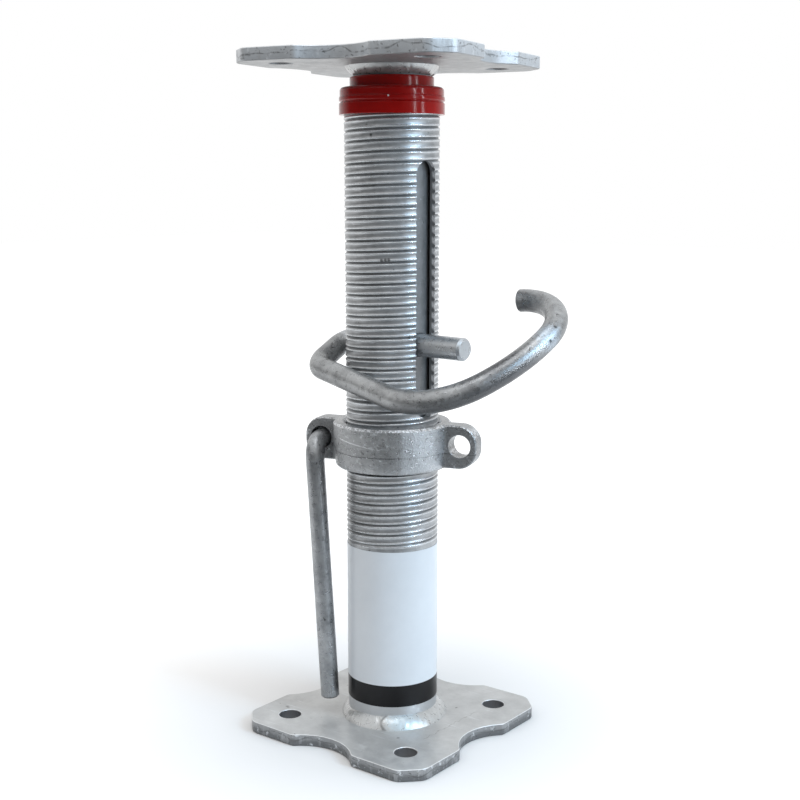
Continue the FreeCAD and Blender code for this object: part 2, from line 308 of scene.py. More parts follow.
# %% Handling marks group
marks, given, result = new_group(
    "handling_marks", [("Pit Scale", 160.0), ("Pit Level", 0.72), ("Scratch Scale", 60.0)],
    ["Pits", "Scratches"])
where = own_place(marks)
peaks = noise(marks, where, given.outputs["Pit Scale"], Detail=3.0, Distortion=0.8)
above = minus(marks, peaks, given.outputs["Pit Level"])
marks.links.new(remap(marks, above, 0.0, 0.05), result.inputs["Pits"])
drawn = place(marks, "ShaderNodeMapping", [
    ("Vector", where), ("Rotation", (0.6, 0.3, 0.9)), ("Scale", (1.0, 14.0, 14.0))])
lines = noise(marks, drawn.outputs[0], given.outputs["Scratch Scale"], Detail=2.0, Distortion=0.3)
marks.links.new(remap(marks, lines, 0.66, 0.74), result.inputs["Scratches"])
print("group", marks.name, "gives", [s.name for s in result.inputs if s.name])

# %% [markdown]
# ## Shared effect: a band
# The label's dark foot, the nut's parting line and the sheared rim of a plate are all stripes along
# one direction. A band group turns any measure into a soft-edged stripe mask.

# %% Band group
band, given, result = new_group(
    "band", [("Along", 0.0), ("From", 0.0), ("To", 0.01), ("Soft", 0.0002)], ["Inside"])
along, soft = given.outputs["Along"], given.outputs["Soft"]
past_from = math_of(band, "DIVIDE", minus(band, along, given.outputs["From"]), soft)
before_to = math_of(band, "DIVIDE", minus(band, given.outputs["To"], along), soft)
nearest = math_of(band, "MINIMUM", past_from, before_to)
inside = place(band, "ShaderNodeMath", [(0, nearest), (1, 0.5)], operation="ADD", use_clamp=True)
band.links.new(inside.outputs[0], result.inputs["Inside"])


def placed(tree, group, **values):
    """A copy of a shared group in a material, with its own values."""
    node = place(tree, "ShaderNodeGroup", node_tree=group)
    for label, value in values.items():
        socket = node.inputs[label.replace("_", " ")]
        if isinstance(value, bpy.types.NodeSocket):
            tree.links.new(value, socket)
        else:
            socket.default_value = value
    return node


def stripe(tree, along, low, high, soft):
    """The band group's mask for a measure between low and high."""
    return placed(tree, band, Along=along, From=low, To=high, Soft=soft).outputs["Inside"]


def position(tree):
    """The x, y and z of the point being shaded, in the model's frame."""
    return place(tree, "ShaderNodeSeparateXYZ", [(0, own_place(tree))]).outputs


print("group", band.name, "ready")

# %% [markdown]
# ## Shared effect: a spot
# A pore, a chip or a patch of heat colour sits at one place. The spot group measures how far the
# shaded point is from that place and gives a mask that fades over a chosen radius.

# %% Spot group
spot, given, result = new_group("spot", [("Radius", 0.004), ("Ragged", 0.3)], ["Inside"])
spot.interface.new_socket("Place", in_out="INPUT", socket_type="NodeSocketVector")
where = own_place(spot)
ends = [(0, where), (1, given.outputs["Place"])]
away = place(spot, "ShaderNodeVectorMath", ends, operation="DISTANCE").outputs["Value"]
rough = noise(spot, where, 700.0, Detail=2.0)
sway = times(spot, minus(spot, rough, 0.5), given.outputs["Ragged"])
share = plus(spot, math_of(spot, "DIVIDE", away, given.outputs["Radius"]), sway)
spot.links.new(remap(spot, share, 0.5, 1.0, 1.0, 0.0), result.inputs["Inside"])
print("group", spot.name, "ready")

# %% [markdown]
# ## Galvanised finishes
# One recipe serves tube, plate, bar and weld: cloudy grey zinc, dark pits, bright scratches, and a
# bump from the tooth. Zinc is half metal and half dull oxide to the eye, so Metallic stays well
# below one. The pieces differ only in their tones, scales and gloss.

# %% Galvanised recipe
# The grime tone also paints shade in the thread groove; the rubbed tone also paints highlights on the
# thread lips and on the nut's grit.
PIT, SOOT, GRIME_AND_SHADE = (0.03, 0.03, 0.03), (0.05, 0.05, 0.05), (0.06, 0.06, 0.06)
RUBBED_AND_HIGHLIGHT = (0.80, 0.83, 0.86)


def galvanised(name, dark, light, scales, pit_level, gloss, tooth_height, metallic):
    """A zinc skin: two tones, scales of cloud, patch, tooth and pit, and (low, high) roughness."""
    material, tree, skin = start_finish(name, Metallic=metallic)
    clouds, patches, teeth, pits = scales
    bloom = placed(tree, zinc_bloom, Cloud_Scale=clouds, Patch_Scale=patches, Tooth_Scale=teeth)
    worn = placed(tree, marks, Pit_Scale=pits, Pit_Level=pit_level, Scratch_Scale=clouds)
    tone = plus(tree, times(tree, bloom.outputs["Cloud"], 0.65), times(tree, bloom.outputs["Patch"], 0.35))
    colour = blend(tree, tone, dark, light)
    colour = tinted(tree, colour, worn.outputs["Scratches"], 0.35, (0.75, 0.77, 0.80))
    colour = tinted(tree, colour, worn.outputs["Pits"], 0.75, SOOT)
    tree.links.new(colour, skin.inputs["Base Color"])
    tree.links.new(remap(tree, bloom.outputs["Patch"], 0.0, 1.0, *gloss), skin.inputs["Roughness"])
    height = minus(tree, times(tree, bloom.outputs["Tooth"], 0.4), worn.outputs["Pits"])
    bump = place(tree, "ShaderNodeBump", [
        ("Height", height), ("Strength", 0.6), ("Distance", tooth_height)])
    tree.links.new(bump.outputs[0], skin.inputs["Normal"])
    return material, tree, skin, colour


# The inner tube's zinc is darker than the rest: painted shade for the tube seen in the slots and under the
# head plate.
shaded_inner_zinc = galvanised(
    "galvanised_tube", (0.15, 0.155, 0.16), (0.26, 0.27, 0.28), scales=(45, 210, 1500, 260),
    pit_level=0.70, gloss=(0.42, 0.55), tooth_height=0.00012, metallic=0.5)[0]
plate_zinc, plate_tree, plate_skin, plate_colour = galvanised(
    "galvanised_plate", (0.38, 0.385, 0.385), (0.60, 0.605, 0.60), scales=(45, 160, 1100, 240),
    pit_level=0.71, gloss=(0.30, 0.48), tooth_height=0.00015, metallic=0.5)
bar_zinc, bar_tree, bar_skin, bar_colour = galvanised(
    "galvanised_bar", (0.20, 0.21, 0.22), (0.54, 0.555, 0.57), scales=(60, 300, 1300, 330),
    pit_level=0.68, gloss=(0.24, 0.42), tooth_height=0.00030, metallic=0.78)
weld_zinc, weld_tree, weld_skin, weld_colour = galvanised(
    "galvanised_weld", (0.38, 0.385, 0.38), (0.62, 0.625, 0.62), scales=(90, 400, 1800, 320),
    pit_level=0.90, gloss=(0.24, 0.40), tooth_height=0.00004, metallic=0.6)
print("zinc finishes:", shaded_inner_zinc.name, plate_zinc.name, bar_zinc.name, weld_zinc.name)

# %% [markdown]
# ## Painted shade on undersides
# Round bars and plates are given painted shade below: their colour darkens as the surface turns
# to face down. The mask comes from the normal alone, so it turns with the piece.

# %% Underside helper
def upright(tree):
    """How far the surface faces up: one on top, minus one below."""
    normal = place(tree, "ShaderNodeNewGeometry").outputs["Normal"]
    return place(tree, "ShaderNodeSeparateXYZ", [(0, normal)]).outputs[2]


def shade_below(tree, colour, share):
    """A colour with painted shade that darkens it towards the underside."""
    below = remap(tree, upright(tree), -0.55, 0.15, share, 0.0)
    return blend(tree, below, colour, (0.055, 0.057, 0.06))


def mark(tree, colour, places_mm, radius_mm, tint, strength=0.8):
    """Small ragged spots of another colour at known places."""
    for place_mm in places_mm:
        middle = tuple(length * MM for length in place_mm)
        dot = placed(tree, spot, Place=middle, Radius=radius_mm * MM, Ragged=1.0)
        colour = tinted(tree, colour, dot.outputs["Inside"], strength, tint)
    return colour


# Painted shade on the underside of the nut's handle.
bar_colour = shade_below(bar_tree, bar_colour, 0.85)
bar_tree.links.new(bar_colour, bar_skin.inputs["Base Color"])
print("undersides of", bar_zinc.name, "dulled")

# %% [markdown]
# ## Threaded tube
# The thread is rolled into the tube wall: a narrow round groove that winds up at a steady pitch,
# with the pushed-up metal standing as a lip on both sides and a nearly flat land between. A screw
# modifier could wind a profile, but the tube also has a plain foot, a bore and two slots, so the
# grid of points is worked out directly: each row follows the helix, dense in the groove and sparse
# on the land. A Boolean cuts the two slots, which leaves the thread's own shape in their edges.

# %% Thread profile
PITCH, LIP = 6.77, 1.4
GROOVE_HEIGHT, GROOVE_TURN = 329.85, -31.2
PLAIN_R, BORE_R, INNER_R = 30.15, 26.15, 24.15
TUBE_BOTTOM, THREAD_BOTTOM, TUBE_TOP, HEAD_UNDER = 8.0, 130.0, 420.2, 435.5


def from_groove(turn_deg, height):
    """How far a point is above the middle of the nearest groove, in mm."""
    middle = GROOVE_HEIGHT + PITCH * (turn_deg - GROOVE_TURN) / 360.0
    return (height - middle + PITCH / 2) % PITCH - PITCH / 2


def thread_radius(away):
    """The rolled profile: two rounded lips, a groove between them and a slightly hollow land."""
    lips = 0.44 * np.exp(-((np.abs(away) - LIP) / 0.62) ** 2)
    groove = 0.8 * np.exp(-(away / 0.55) ** 2)
    return PLAIN_R - 0.1 + lips - groove


print("thread crest %.2f mm, groove bottom %.2f mm" % (thread_radius(LIP), thread_radius(0.0)))

# %% Thread grid
COLUMNS = 96
half_steps = [0.2, 0.4, 0.6, 0.85, 1.1, 1.4, 1.7, 2.05, 2.5]
steps = np.array([-PITCH / 2] + [-s for s in half_steps[::-1]] + [0.0] + half_steps)
turns = np.arange(COLUMNS) * 360.0 / COLUMNS
lowest = math.floor((THREAD_BOTTOM - GROOVE_HEIGHT) / PITCH) - 2
highest = math.ceil((TUBE_TOP - GROOVE_HEIGHT) / PITCH) + 2
levels = np.concatenate([GROOVE_HEIGHT + PITCH * k + steps for k in range(lowest, highest + 1)])
heights = levels[None, :] + PITCH * ((turns - GROOVE_TURN) / 360.0 - 1.0)[:, None]
heights = np.clip(heights, THREAD_BOTTOM, TUBE_TOP)
fade = np.clip((heights - THREAD_BOTTOM) / 4.0, 0.0, 1.0)
radii = PLAIN_R + fade * (thread_radius(from_groove(turns[:, None], heights)) - PLAIN_R)
rows = heights.shape[1]
print("thread grid:", COLUMNS, "columns by", rows, "rows")

# %% Tube mesh
def ring_points(radius, height):
    """One row of the grid that stays level."""
    return np.full((COLUMNS, 1), radius), np.full((COLUMNS, 1), height)


parts = [ring_points(BORE_R, TUBE_BOTTOM), ring_points(PLAIN_R, TUBE_BOTTOM),
         (radii, heights), ring_points(BORE_R, TUBE_TOP)]
all_r = np.concatenate([p[0] for p in parts], axis=1) * MM
all_z = np.concatenate([p[1] for p in parts], axis=1) * MM
angle = np.radians(turns)[:, None]
points = np.stack([all_r * np.cos(angle), all_r * np.sin(angle), all_z], axis=2)
total = points.shape[1]
next_row = np.arange(total)
next_row[2:2 + rows] = np.minimum(next_row[2:2 + rows] + len(steps), 1 + rows)
faces = []
for column in range(COLUMNS):
    after = (column + 1) % COLUMNS
    seam = next_row if after == 0 else np.arange(total)
    here, there = column * total, after * total
    for row in range(total):
        up = (row + 1) % total
        faces.append((here + row, there + seam[row], there + seam[up], here + up))
tube_mesh = bpy.data.meshes.new("threaded_tube")
tube_mesh.from_pydata(points.reshape(-1, 3).tolist(), [], faces)
work = bmesh.new()
work.from_mesh(tube_mesh)
bmesh.ops.remove_doubles(work, verts=work.verts, dist=2e-6)
bmesh.ops.dissolve_degenerate(work, edges=work.edges, dist=1e-7)
bmesh.ops.recalc_face_normals(work, faces=work.faces)
loose = sum(1 for e in work.edges if len(e.link_faces) != 2)
work.to_mesh(tube_mesh)
work.free()
threaded_tube = add_object("threaded_tube", tube_mesh)
print("tube faces:", len(tube_mesh.polygons), "open edges:", loose)

# %% Pin slots
SLOT_HALF, SLOT_LOW, SLOT_HIGH, SLOT_TURN = 8.75, 216.0, 378.0, -5.0
outline = []
for centre, first in ((SLOT_LOW + SLOT_HALF, 180.0), (SLOT_HIGH - SLOT_HALF, 0.0)):
    for step in range(33):
        a = math.radians(first + step * 180.0 / 32)
        outline.append((SLOT_HALF * math.cos(a), centre + SLOT_HALF * math.sin(a)))
spin = math.radians(SLOT_TURN)
cutter_points = []
for reach in (-40.0, 40.0):
    for across, height in outline:
        x = reach * math.cos(spin) - across * math.sin(spin)
        y = reach * math.sin(spin) + across * math.cos(spin)
        cutter_points.append((x * MM, y * MM, height * MM))
n = len(outline)
cutter_faces = [tuple(range(n))[::-1], tuple(range(n, 2 * n))]
cutter_faces += [(i, (i + 1) % n, n + (i + 1) % n, n + i) for i in range(n)]
cutter_mesh = bpy.data.meshes.new("slot_cutter")
cutter_mesh.from_pydata(cutter_points, [], cutter_faces)
face_outwards(cutter_mesh)
cutter = add_object("slot_cutter", cutter_mesh)
cut = threaded_tube.modifiers.new("slots", "BOOLEAN")
cut.operation, cut.solver, cut.object = "DIFFERENCE", "EXACT", cutter
bpy.context.view_layer.update()
seen = threaded_tube.evaluated_get(bpy.context.evaluated_depsgraph_get())
slotted = bpy.data.meshes.new_from_object(seen)
threaded_tube.modifiers.clear()
threaded_tube.data = slotted
bpy.data.objects.remove(cutter)
print("slotted tube faces:", len(slotted.polygons))

# %% Thread masks
OUTER_SKIN_R = 28.5


def faces_sideways(face):
    """Whether a face looks round the tube, and not outwards or up."""
    middle, normal = face.center, face.normal
    outwards = abs(normal.x * middle.x + normal.y * middle.y)
    return outwards < 0.4 * math.hypot(middle.x, middle.y) and abs(normal.z) < 0.95


def beside_slot(face):
    """Whether a face lies between the ends of the slots, with a millimetre to spare."""
    return SLOT_LOW * MM - 0.001 < face.center.z < SLOT_HIGH * MM + 0.001


co = np.empty(len(slotted.vertices) * 3, np.float32)
slotted.vertices.foreach_get("co", co)
co = co.reshape(-1, 3) / MM
away = from_groove(np.degrees(np.arctan2(co[:, 1], co[:, 0])), co[:, 2])
outside = (np.hypot(co[:, 0], co[:, 1]) > OUTER_SKIN_R) & (co[:, 2] > THREAD_BOTTOM + 1.0)
groove = slotted.attributes.new("groove", "FLOAT", "POINT")
groove.data.foreach_set("value", (np.exp(-(away / 0.45) ** 2) * outside).astype(np.float32))
lip = slotted.attributes.new("lip", "FLOAT", "POINT")
lip.data.foreach_set("value", (np.exp(-((np.abs(away) - LIP) / 0.5) ** 2) * outside).astype(np.float32))
wall = slotted.attributes.new("slot_wall", "FLOAT", "FACE")
on_slot_wall = [faces_sideways(f) and beside_slot(f) for f in slotted.polygons]
wall.data.foreach_set("value", np.array(on_slot_wall, np.float32))
slotted.shade_smooth()
slotted.set_sharp_from_angle(angle=math.radians(50))
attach(threaded_tube, "stand")
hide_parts("outer_tube")
print("groove and lip masks on", len(slotted.vertices), "points, slot wall on", sum(on_slot_wall), "faces")

# %% [markdown]
# ## Tube finish
# Dirt and drawing oil stay in the groove and the nut polishes the lips; the groove also gets painted
# shade and the lips a painted highlight, so the two masks darken one and brighten the other on top of
# the zinc. The slot walls carry painted highlights, bright beads where the cut thread ends, with
# painted shade near the bore, and a painted shadow rings the tube under the nut. The plain foot
# stays brighter: no nut rubs oil into it.

# %% Tube finish
threaded_zinc, tree, skin, colour = galvanised(
    "threaded_zinc", (0.25, 0.255, 0.26), (0.45, 0.46, 0.47), scales=(45, 210, 1500, 260),
    pit_level=0.70, gloss=(0.22, 0.36), tooth_height=0.00010, metallic=0.78)
groove_mask = place(tree, "ShaderNodeAttribute", attribute_name="groove").outputs["Fac"]
lip_mask = place(tree, "ShaderNodeAttribute", attribute_name="lip").outputs["Fac"]
wall_mask = place(tree, "ShaderNodeAttribute", attribute_name="slot_wall").outputs["Fac"]
x, y, z = position(tree)
lean = plus(tree, z, times(tree, x, 0.45))
beat = math_of(tree, "PINGPONG", plus(tree, lean, 0.0005), 0.5 * PITCH * MM)
# Painted highlights on the slot walls: bright beads where the cut thread ends, darker between.
slot_wall_light_and_shade = blend(tree, remap(tree, beat, 0.0008, 0.0024), (0.22, 0.225, 0.23), (0.95, 0.95, 0.96))
from_axis = axis_distance(tree, x, y)
# Painted shade on the inner part of each slot wall, near the bore.
slot_wall_light_and_shade = blend(tree, remap(tree, from_axis, 0.0274, 0.0284), (0.26, 0.265, 0.27), slot_wall_light_and_shade)
foot_mask = remap(tree, z, 0.12, 0.13, 1.0, 0.0)
# A painted shadow: a dark band round the tube just under the nut.
shadow_under_nut = stripe(tree, z, 0.1793, 0.1816, 0.0006)
# The lips are polished by the nut and also carry a painted highlight.
colour = tinted(tree, colour, lip_mask, 0.6, RUBBED_AND_HIGHLIGHT)
# The groove holds dirt and also painted shade.
colour = tinted(tree, colour, groove_mask, 0.4, GRIME_AND_SHADE)
colour = tinted(tree, colour, shadow_under_nut, 0.8, (0.04, 0.04, 0.04))
colour = tinted(tree, colour, foot_mask, 0.75, (0.66, 0.68, 0.70))
colour = mark(tree, colour, [(-14.0, -26.8, 155.0)], 30.0, (0.09, 0.09, 0.09), 0.4)
colour = blend(tree, wall_mask, colour, slot_wall_light_and_shade)
nicks = [(13.1, -27.2, 317.3), (15.2, -26.1, 317.4), (17.0, -24.9, 317.5), (6.9, -29.6, 393.2)]
colour = mark(tree, colour, nicks, 1.3, PIT)
mottle = times(tree, placed(tree, zinc_bloom).outputs["Patch"], 0.10)
tree.links.new(plus(tree, remap(tree, lip_mask, 0.0, 1.0, 0.34, 0.16), mottle), skin.inputs["Roughness"])
tree.links.new(remap(tree, wall_mask, 0.0, 1.0, 0.75, 0.15), skin.inputs["Metallic"])
tree.links.new(colour, skin.inputs["Base Color"])
slotted.materials.clear()
slotted.materials.append(threaded_zinc)
print("finish", threaded_zinc.name)

# %% [markdown]
# ## Weld beads
# A welder lays the bead round the tube in two runs, so its legs swell and shrink, ripples cross it
# and the restart stands proud of the run before. The bead is a grid round the tube whose leg and
# surface follow a few seeded waves; a sculpted or displaced ring would be heavier for the same look.

# %% Weld bead maker
def weld_bead(name, node, body, tube_r, level, way, leg, bulge, restart_deg, thin_deg, seed):
    """A fillet bead in the corner between a tube and a plate; way is +1 above the plate, -1 below."""
    chance = np.random.default_rng(seed)
    around, steps_across = 360, 13
    turn = np.radians(np.arange(around))[:, None]
    t = np.linspace(0.0, 1.0, steps_across)[None, :]
    sway = sum(chance.uniform(0.2, 1.0) * np.cos(k * turn + chance.uniform(0, 6.3)) / k
               for k in (2, 3, 5, 8, 13))
    since = (np.degrees(turn) - restart_deg - 5.0 * (2 * t - 1) ** 2) % 360.0
    proud = np.clip(since / 2.5, 0, 1) * np.exp(-since / 45.0)
    from_thin = (np.degrees(turn) - thin_deg + 180.0) % 360.0 - 180.0
    size = leg * (0.95 + 0.035 * sway - 0.35 * np.exp(-(from_thin / 40.0) ** 2)) + 0.9 * proud
    waves = sum(np.sin(turn * k + chance.uniform(0, 6.3) + 0.06 * k * (2 * t - 1) ** 2)
                for k in (23, 31, 41, 53))
    ripple = 0.035 * waves
    rise = (bulge + 0.5 * proud + ripple) * np.sin(math.pi * t) ** 0.8
    r = tube_r + size * (1 - t) + rise / math.sqrt(2)
    z = level + way * (size * t + rise / math.sqrt(2)) - way * 0.03 * (t < 0.01)
    heel = np.full((around, 1), tube_r)
    r = np.concatenate([r, heel], 1) * MM
    z = np.concatenate([z, np.full((around, 1), level)], 1) * MM
    grid = np.stack([r * np.cos(turn), r * np.sin(turn), z], axis=2)
    wide = steps_across + 1
    quads = []
    for i in range(around):
        here, there = i * wide, (i + 1) % around * wide
        for j in range(wide):
            up = (j + 1) % wide
            quads.append((here + j, there + j, there + up, here + up))
    mesh = bpy.data.meshes.new(name)
    mesh.from_pydata(grid.reshape(-1, 3).tolist(), [], quads)
    face_outwards(mesh)
    mesh.shade_smooth()
    mesh.set_sharp_from_angle(angle=math.radians(60))
    mesh.materials.append(weld_zinc)
    bead = add_object(name, mesh)
    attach(bead, body)
    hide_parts(node)
    return bead


weld_colour = mark(weld_tree, weld_colour, [(26.4, -21.4, 10.5)], 14.0, (0.46, 0.62, 0.72), 0.45)
weld_colour = mark(weld_tree, weld_colour, [(-15.6, -32.4, 11.6)], 1.5, PIT)
weld_tree.links.new(weld_colour, weld_skin.inputs["Base Color"])
foot_bead = weld_bead("foot_bead", "base_weld", "stand", PLAIN_R, TUBE_BOTTOM, 1, leg=7.5, bulge=0.6,
                      restart_deg=-66.0, thin_deg=-142.0, seed=4)
head_bead = weld_bead("head_bead", "head_weld", "inner_post", INNER_R, HEAD_UNDER, -1, leg=6.0, bulge=0.5,
                      restart_deg=40.0, thin_deg=150.0, seed=9)
print("beads:", len(foot_bead.data.polygons), len(head_bead.data.polygons), "faces")

# %% [markdown]
# ## Softened plates and nut
# Sheared and dipped steel has no razor edges: the zinc rounds them and they catch the light. The CAD
# meshes stay as they are, so each piece gets a copy whose flat facets are merged and whose corners
# are bevelled, with weighted normals to keep the flats flat.

# %% Softened copies
BOLT_CIRCLE_R, HOLE_REACH = 70.71 * MM, 7.7 * MM
PLATE_EDGE, NUT_EDGE, CAP_EDGE = 0.7 * MM, 0.4 * MM, 0.35 * MM
HEAD_TURN = 10.2


def in_a_hole(point, holes):
    """Whether a point lies within reach of the middle of any hole."""
    return any(math.hypot(point.x - x, point.y - y) < HOLE_REACH for x, y in holes)


def softened(name, node, body, width, finish, holes=()):
    """A copy of a CAD piece with its sharp edges rounded by a small bevel, and its bores marked."""
    mesh = bpy.data.meshes.new(name)
    form = bmesh.new()
    form.from_mesh(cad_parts[node].data)
    bmesh.ops.remove_doubles(form, verts=form.verts, dist=1e-6)
    bmesh.ops.dissolve_limit(form, angle_limit=math.radians(0.4), verts=form.verts, edges=form.edges)
    sharp = [e for e in form.edges if len(e.link_faces) == 2 and e.calc_face_angle() > math.radians(40)]
    bmesh.ops.bevel(form, geom=sharp, offset=width, segments=2, profile=0.5,
                    affect="EDGES", clamp_overlap=True)
    bmesh.ops.triangulate(form, faces=form.faces)
    form.to_mesh(mesh)
    form.free()
    bore = mesh.attributes.new("bore", "FLOAT", "FACE")
    in_bore = [in_a_hole(f.center, holes) and abs(f.normal.z) < 0.3 for f in mesh.polygons]
    bore.data.foreach_set("value", np.array(in_bore, np.float32))
    mesh.shade_smooth()
    mesh.materials.append(finish)
    item = add_object(name, mesh)
    item.modifiers.new("flat_faces", "WEIGHTED_NORMAL").weight = 80
    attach(item, body)
    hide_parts(node)
    print(name, "has", len(mesh.polygons), "faces,", len(sharp), "edges softened")
    return item


def bolt_circle(turn_deg):
    """The four bolt holes of a plate, turned about the prop's axis."""
    corners = [math.radians(turn_deg + corner) for corner in (45, 135, 225, 315)]
    return [(BOLT_CIRCLE_R * math.cos(a), BOLT_CIRCLE_R * math.sin(a)) for a in corners]


foot_plate = softened("foot_plate", "base_plate", "stand",
                      PLATE_EDGE, plate_zinc, bolt_circle(0.0))
top_plate = softened("top_plate", "head_plate", "inner_post",
                     PLATE_EDGE, plate_zinc, bolt_circle(HEAD_TURN))

# %% [markdown]
# ## Sheared plate edges
# A shear burnishes the top of a cut edge and tears the rest, so the sides of a plate are streaked up
# and down; they are also painted darker than the faces as shade. The upper plate's sides get a bluish
# painted reflection, the sloped top of a rim a painted highlight, and bright flecks on the sides are
# painted glints. The side is found from the normal, the height on it from the position, and the
# streaks are a noise squeezed across the edge.

# %% Plate edge finish
BETWEEN_PLATES = 0.2
tree = plate_tree
side = remap(tree, math_of(tree, "ABSOLUTE", upright(tree)), 0.25, 0.75, 1.0, 0.0)
x, y, z = position(tree)
upper = math_of(tree, "GREATER_THAN", z, BETWEEN_PLATES)
on_edge = minus(tree, z, times(tree, upper, HEAD_UNDER * MM))
squeezed = place(tree, "ShaderNodeMapping", [("Vector", own_place(tree)), ("Scale", (1.0, 1.0, 0.3))])
streaks = noise(tree, squeezed.outputs[0], 260.0, Detail=4.0)
wander = times(tree, minus(tree, streaks, 0.5), 0.004)
torn = plus(tree, on_edge, wander)
# Sheared tones on the sides, darker than the faces as painted shade.
edge_tone = blend(tree, remap(tree, torn, 0.0030, 0.0055), (0.17, 0.175, 0.18), (0.33, 0.335, 0.34))
# A painted reflection: the upper plate's sides are lighter and bluish.
edge_tone = tinted(tree, edge_tone, upper, 0.8, (0.72, 0.75, 0.78))
slow = noise(tree, own_place(tree), 45.0, Detail=1.0)
tear_height = plus(tree, on_edge, times(tree, minus(tree, slow, 0.5), 0.012))
tear = stripe(tree, tear_height, 0.0043, 0.0050, 0.0005)
tear = times(tree, tear, remap(tree, streaks, 0.44, 0.60, 0.15, 0.75))
edge_tone = blend(tree, tear, edge_tone, SOOT)
edge_tone = blend(tree, remap(tree, streaks, 0.55, 0.85), edge_tone, (0.50, 0.51, 0.52))
shreds = placed(tree, zinc_bloom, Cloud_Scale=240.0, Patch_Scale=420.0)
torn_out = remap(tree, shreds.outputs["Patch"], 0.78, 0.98, 0.0, 0.6)
edge_tone = blend(tree, torn_out, edge_tone, GRIME_AND_SHADE)
# Painted glints: bright flecks on the sides.
edge_glints = remap(tree, shreds.outputs["Cloud"], 0.70, 0.95, 0.0, 0.7)
edge_tone = blend(tree, edge_glints, edge_tone, (0.85, 0.88, 0.91))
print("plate edge tones mixed")

# %% Plate rims, drip and bores
colour = blend(tree, side, plate_colour, edge_tone)
# A painted highlight on the sloped top of each rim.
bevel = stripe(tree, upright(tree), 0.35, 0.93, 0.10)
colour = tinted(tree, colour, bevel, 0.65, (0.86, 0.88, 0.89))
waver = plus(tree, times(tree, y, 0.0227), times(tree, streaks, 0.006))
run = minus(tree, x, waver)
drip = stripe(tree, run, 0.0448, 0.0453, 0.0003)
reach = stripe(tree, y, -0.028, 0.030, 0.006)
foot_top = times(tree, minus(tree, 1.0, upper), minus(tree, 1.0, side))
drip = times(tree, times(tree, drip, reach), foot_top)
colour = tinted(tree, colour, drip, 0.5, (0.20, 0.19, 0.18))
specks = [(-60.4, -41.9, 8.0), (-58.6, -42.6, 8.0), (32.9, -36.0, 8.0)]
colour = mark(tree, colour, specks, 1.4, (0.10, 0.095, 0.09), 0.6)
colour = mark(tree, colour, [(-19.0, -75.0, 4.0), (63.0, -62.0, 2.0)], 2.0, (0.02, 0.02, 0.02))
# Painted shade: the walls of the bolt holes are dark, and the plates darken towards their undersides.
bore_mask = place(tree, "ShaderNodeAttribute", attribute_name="bore").outputs["Fac"]
colour = blend(tree, bore_mask, shade_below(tree, colour, 0.5), (0.17, 0.17, 0.175))
tree.links.new(colour, plate_skin.inputs["Base Color"])
print("edge finish on", foot_plate.name, "and", top_plate.name)

# %% [markdown]
# ## Cast nut
# The nut is cast iron in a sand mould: a gritty skin and a parting line where the mould halves met.
# The grit is a bump with painted glints, the line a thin dark band with a wandering edge. The upright
# faces on the window side get a bluish painted highlight, the rims that slope up a painted highlight,
# and the upright faces of the ears painted shade.

# %% Cast nut finish
cast_finish, tree, skin, colour = galvanised(
    "cast_nut", (0.24, 0.245, 0.25), (0.46, 0.47, 0.48), scales=(55, 420, 1000, 320),
    pit_level=0.73, gloss=(0.22, 0.44), tooth_height=0.0009, metallic=0.75)
high = plus(tree, position(tree)[2], times(tree, placed(tree, zinc_bloom).outputs["Cloud"], 0.0012))
line = stripe(tree, high, 0.1931, 0.1938, 0.0003)
colour = tinted(tree, colour, line, 0.7, GRIME_AND_SHADE)
x, y, z = position(tree)
turned = math_of(tree, "ARCTAN2", y, x)
seam_height = minus(tree, z, times(tree, turned, -0.005))
seam = stripe(tree, seam_height, 0.1924, 0.1931, 0.0003)
seam = times(tree, seam, stripe(tree, turned, -2.0, -1.2, 0.2))
colour = tinted(tree, colour, seam, 0.7, (0.78, 0.80, 0.82))
upright_face = remap(tree, math_of(tree, "ABSOLUTE", upright(tree)), 0.3, 0.6, 1.0, 0.0)
# A bluish painted highlight on the upright faces on the window side.
window_side_highlight = times(tree, upright_face, stripe(tree, turned, -0.76, 0.1, 0.08))
colour = tinted(tree, colour, window_side_highlight, 0.4, (0.66, 0.70, 0.74))
# Painted shade on the upright faces of the ears.
ear_shade = times(tree, upright_face, remap(tree, axis_distance(tree, x, y), 0.0400, 0.0406))
colour = tinted(tree, colour, ear_shade, 0.6, (0.20, 0.205, 0.21))
print("nut tones mixed")

# %% Nut grit and rims
grit = placed(tree, zinc_bloom, Cloud_Scale=320.0, Patch_Scale=700.0, Tooth_Scale=1500.0)
# Painted glints: bright specks on the grit.
sparkle = remap(tree, grit.outputs["Cloud"], 0.72, 0.95)
colour = tinted(tree, colour, sparkle, 0.6, RUBBED_AND_HIGHLIGHT)
off_slope = math_of(tree, "ABSOLUTE", minus(tree, upright(tree), 0.6))
# A painted highlight on the rims that slope up.
chamfer_highlight = times(tree, remap(tree, off_slope, 0.1, 0.3, 1.0, 0.0), remap(tree, grit.outputs["Patch"], 0.35, 0.6))
colour = tinted(tree, colour, chamfer_highlight, 0.8, (0.85, 0.87, 0.90))
tree.links.new(colour, skin.inputs["Base Color"])
cast_nut = softened("cast_nut", "collar_nut", "nut", NUT_EDGE, cast_finish)

# %% [markdown]
# ## Red cap
# The cap is moulded in deep red plastic with a hard gloss. A low roughness gives the crisp window
# lines, and cloudy dust dulls it a little.

